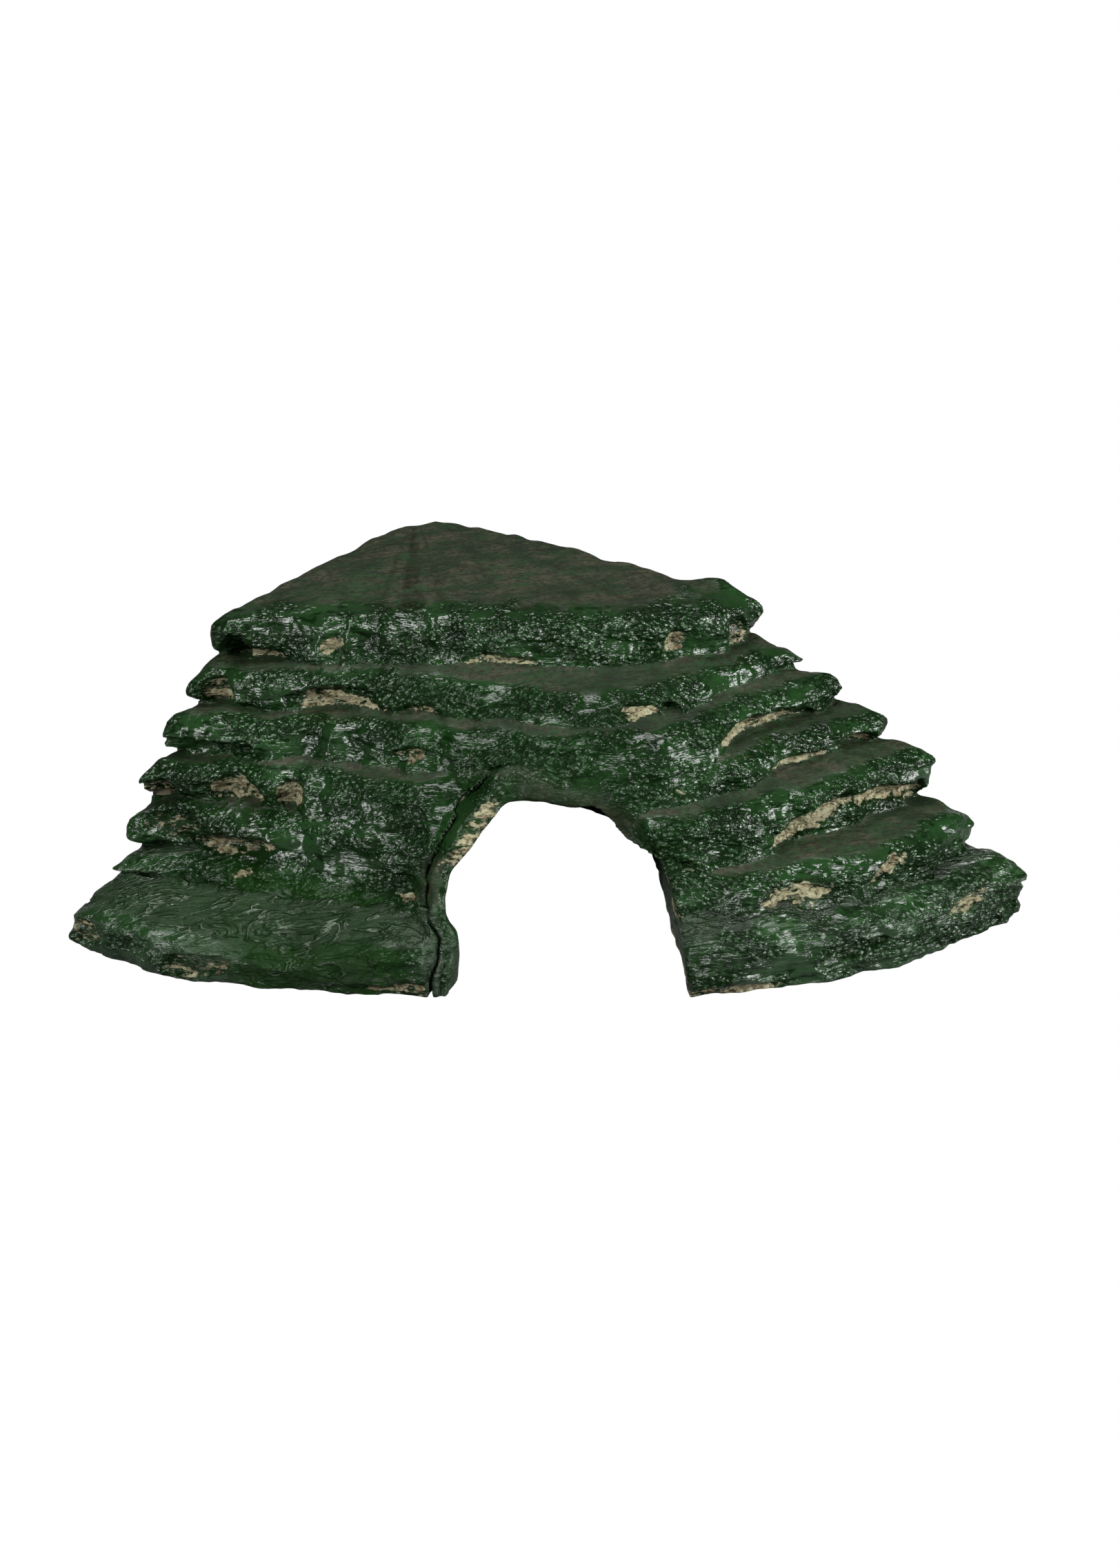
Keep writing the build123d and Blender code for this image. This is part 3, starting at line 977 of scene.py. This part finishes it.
    # Bare tan resin in the hollows, stained and pitted, and a few chips of it elsewhere.
    tan = g.step(g.noise(1.7, 4, 0.62, (2.2, 2.2, 0.9), shift=11.0), 0.32, 0.6)
    tan = g.mix(tan, TAN_DARK, TAN)
    stained = g.step(g.noise(5, 4, 0.65, (1.8, 1.8, 1), shift=12.0), 0.55, 0.68)
    tan = g.mix(g.times(stained, 0.8), tan, STAIN)
    tan = g.mix(g.times(g.step(pitted, 0.48, 0.38), 0.85), tan, STAIN)
    worn = g.add(bare, g.times(g.math("SUBTRACT", scrape, 0.5), 4.5))
    worn = g.math("SUBTRACT", worn, g.times(g.step(grain, 0.45, 0.25), 0.3))
    worn = g.times(g.step(worn, 0.35, 0.75), g.step(bare, 0.02, 0.2))
    worn = g.math("MAXIMUM", worn, g.times(g.step(chips, 0.69, 0.73), riser, 0.7))
    # The deepest recesses and the crown are darkened nearly to black: partly a brown wash, partly
    # painted shade.
    deep = g.step(g.add(recess, g.times(patch, 3.0)), 9.5, 13.0)
    colour = g.mix(worn, paint, tan)
    colour = g.mix(g.times(deep, 0.85), colour, DIRT_AND_SHADE)
    colour = g.mix(inner, colour, raw_resin(g))

    # Gloss: wet-looking risers, matt treads.
    rough = g.blend(tread, gloss, g.blend(low, 0.62, 0.14))
    rough = g.add(rough, g.times(g.math("SUBTRACT", patch, 0.5), 0.18))
    rough = g.blend(worn, rough, 0.6)
    rough = g.blend(inner, rough, 0.85)
    base_shine = g.blend(left, 0.7, 0.42)
    shine = g.blend(tread, g.blend(middle, 0.66, 0.33), g.blend(low, 0.25, base_shine))
    shine = g.times(shine, g.rest(g.times(shaded_smooth_face, 0.6)), g.rest(g.times(gaps, 0.85)))
    shine = g.times(shine, g.rest(g.math("MAXIMUM", g.times(worn, 0.6), deep)))

    # Relief, in millimetres.
    granular = g.times(g.add(g.times(grain, 0.5), g.times(crumbs, 0.25)), crumbly)
    granular = g.times(g.add(granular, g.times(lump, 0.8)), grainy)
    granular = g.add(granular, g.times(bedding, 0.5))
    rubbed = g.add(g.times(streak, g.blend(low, 0.6, 2.2)), g.times(fine, 0.45), ridge)
    pits = g.times(worn, g.add(-0.3, pitted))
    height = g.add(g.times(granular, riser), g.times(rubbed, g.add(0.2, tread)), pits)
    return g.finish(colour, rough, height, shine)


def panel_material():
    """Satin paint sanded flat against the glass, with pits from casting and raw resin inside."""
    g = Graph("back_resin_paint")
    depth = g.attribute("depth")
    sanded = g.noise(1.2, 4, 0.6, (0.6, 0.6, 9), shift=2.0)
    blotch = g.noise(22, 5, 0.6, shift=4.0)
    pits = g.grains(5.0)
    pits = g.times(g.step(pits, 0.86, 0.97), g.step(g.noise(14, 3, shift=6.0), 0.5, 0.6))
    colour = g.mix(g.step(blotch, 0.35, 0.7), PAINT_DARK, PAINT)
    scuff = g.step(g.add(g.times(sanded, 0.55), g.times(blotch, 0.6)), 0.58, 0.76)
    colour = g.mix(g.times(scuff, 0.75), colour, DUSTED)
    scratch = g.noise(1.0, 3, 0.6, (0.5, 0.5, 14), shift=10.0)
    rubbed = g.times(g.step(scratch, 0.52, 0.66), g.step(g.noise(30, 4, 0.65, shift=12.0), 0.42, 0.62))
    colour = g.mix(g.times(rubbed, 0.7), colour, PAINT_WORN_AND_HIGHLIGHT)
    colour = g.mix(g.times(g.step(g.noise(6, 5, 0.65, shift=8.0), 0.63, 0.67), 0.9), colour, TAN_DARK)
    colour = g.mix(pits, colour, DIRT_AND_SHADE)
    inner = g.step(depth, 1.2, 2.2)
    colour = g.mix(inner, colour, raw_resin(g))
    rough = g.blend(inner, g.add(0.42, g.times(sanded, 0.25)), 0.85)
    height = g.add(g.times(sanded, 0.12), g.times(blotch, 0.5), g.times(pits, -0.6))
    return g.finish(colour, rough, height)


def putty_material():
    g = Graph("epoxy_putty")
    swirl = g.noise(4, 5, 0.6, (1, 1, 0.5), 1.5, shift=1.0)
    colour = g.mix(g.step(swirl, 0.3, 0.7), PUTTY_DARK, PUTTY)
    height = g.add(g.times(swirl, 0.5), g.times(g.noise(0.7, 3, shift=3.0), 0.12))
    return g.finish(colour, 0.8, height)


def add_piece(name, node, material, piece_field, estimate):
    """Meshes one piece, paints it and puts it on the body in place of its CAD node."""
    piece = build(name, node, piece_field, estimate)
    piece.data.materials.append(material)
    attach(piece, "root")
    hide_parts(node)


painted_rock = rock_material("rock_paint", 0.09)
cave_rock = rock_material("cave_paint", 0.14)
back_resin = panel_material()
epoxy = putty_material()
for node in ("platform_slab", "bridge_ledges", "left_flank", "right_flank"):
    add_piece(node + "_rock", node, painted_rock, rock_piece, rock_estimate)
add_piece("cave_liner_rock", "cave_liner", cave_rock, rock_piece, rock_estimate)
for node in ("left_back_wall", "right_back_wall"):
    add_piece(node + "_panel", node, back_resin, panel_piece, panel_estimate)
add_piece("putty_lumps", "putty_beads", epoxy, putty, putty_estimate)


# ---------- camera, floor and light

TARGET = (26.07, -120.0, 36.28)                      # millimetres from the tank corner
ELEVATION, AZIMUTH, DISTANCE = 23.94, -10.88, 1.350
LENS, SENSOR_HEIGHT = 98.6, 36.0

SOFTBOXES = (                                       # name, place, size, watts
    ("left_softbox", (-1.15, -0.75, 0.8), (0.6, 0.8), 17),
    ("right_softbox", (1.2, -0.75, 0.6), (0.72, 0.82), 30),
    ("front_softbox", (0.1, -1.1, 1.3), (0.3, 0.3), 1.2),
    ("top_softbox", (0.0, 0.3, 1.3), (0.6, 0.45), 9),
)
LIT_POINT = Vector((0, 0, 0.04))
FLOOR_HALF = 6.0
FLOOR_GREY = 0.25
DOME_STRENGTH = 0.06


def to_row(x, y, z):
    return Vector((np.array([x, y, z]) + CORNER) / MM)


def look_at(thing, target):
    thing.rotation_euler = (target - thing.location).to_track_quat("-Z", "Y").to_euler()


def add_camera():
    target = to_row(*TARGET)
    elevation, azimuth = math.radians(ELEVATION), math.radians(AZIMUTH)
    level = math.cos(elevation)
    back = Vector((math.sin(azimuth) * level, -math.cos(azimuth) * level, math.sin(elevation)))
    data = bpy.data.cameras.new("camera")
    data.sensor_fit = "VERTICAL"
    data.sensor_height = SENSOR_HEIGHT
    data.lens = LENS
    camera = bpy.data.objects.new("camera", data)
    camera.location = target + back * DISTANCE
    bpy.context.scene.collection.objects.link(camera)
    look_at(camera, target)
    bpy.context.scene.camera = camera


def add_softbox(name, place, size, watts):
    data = bpy.data.lights.new(name, "AREA")
    data.shape = "RECTANGLE"
    data.size, data.size_y = size
    data.energy = watts
    light = bpy.data.objects.new(name, data)
    light.location = place
    bpy.context.scene.collection.objects.link(light)
    look_at(light, LIT_POINT)


def add_floor():
    """A pale floor that the camera sees as white, and that reflects little onto the rock."""
    half = FLOOR_HALF
    mesh = bpy.data.meshes.new("floor")
    mesh.from_pydata([(-half, -half, 0), (half, -half, 0), (half, half, 0), (-half, half, 0)],
                     [], [(0, 1, 2, 3)])
    floor = bpy.data.objects.new("floor", mesh)
    bpy.context.scene.collection.objects.link(floor)
    material = bpy.data.materials.new("pale_floor")
    material.use_nodes = True
    nodes, links = material.node_tree.nodes, material.node_tree.links
    diffuse = nodes["Principled BSDF"]
    diffuse.inputs["Base Color"].default_value = (FLOOR_GREY, FLOOR_GREY, FLOOR_GREY, 1)
    diffuse.inputs["Roughness"].default_value = 0.9
    glow = nodes.new("ShaderNodeEmission")
    glow.inputs["Strength"].default_value = 1.0
    rays = nodes.new("ShaderNodeLightPath")
    mix = nodes.new("ShaderNodeMixShader")
    output = nodes["Material Output"]
    links.new(rays.outputs["Is Camera Ray"], mix.inputs[0])
    links.new(diffuse.outputs[0], mix.inputs[1])
    links.new(glow.outputs[0], mix.inputs[2])
    links.new(mix.outputs[0], output.inputs["Surface"])
    mesh.materials.append(material)


def add_world():
    """White to the camera, and a soft grey dome for everything else."""
    world = bpy.data.worlds.new("studio")
    bpy.context.scene.world = world
    world.use_nodes = True
    nodes, links = world.node_tree.nodes, world.node_tree.links
    dome = nodes["Background"]
    dome.inputs["Strength"].default_value = DOME_STRENGTH
    dome.inputs["Color"].default_value = (1, 1, 1, 1)
    backdrop = nodes.new("ShaderNodeBackground")
    backdrop.inputs["Strength"].default_value = 1.0
    backdrop.inputs["Color"].default_value = (1, 1, 1, 1)
    rays = nodes.new("ShaderNodeLightPath")
    mix = nodes.new("ShaderNodeMixShader")
    links.new(rays.outputs["Is Camera Ray"], mix.inputs[0])
    links.new(dome.outputs[0], mix.inputs[1])
    links.new(backdrop.outputs[0], mix.inputs[2])
    links.new(mix.outputs[0], nodes["World Output"].inputs["Surface"])


add_camera()
add_floor()
add_world()
for softbox in SOFTBOXES:
    add_softbox(*softbox)
bpy.context.scene.view_settings.view_transform = "Standard"
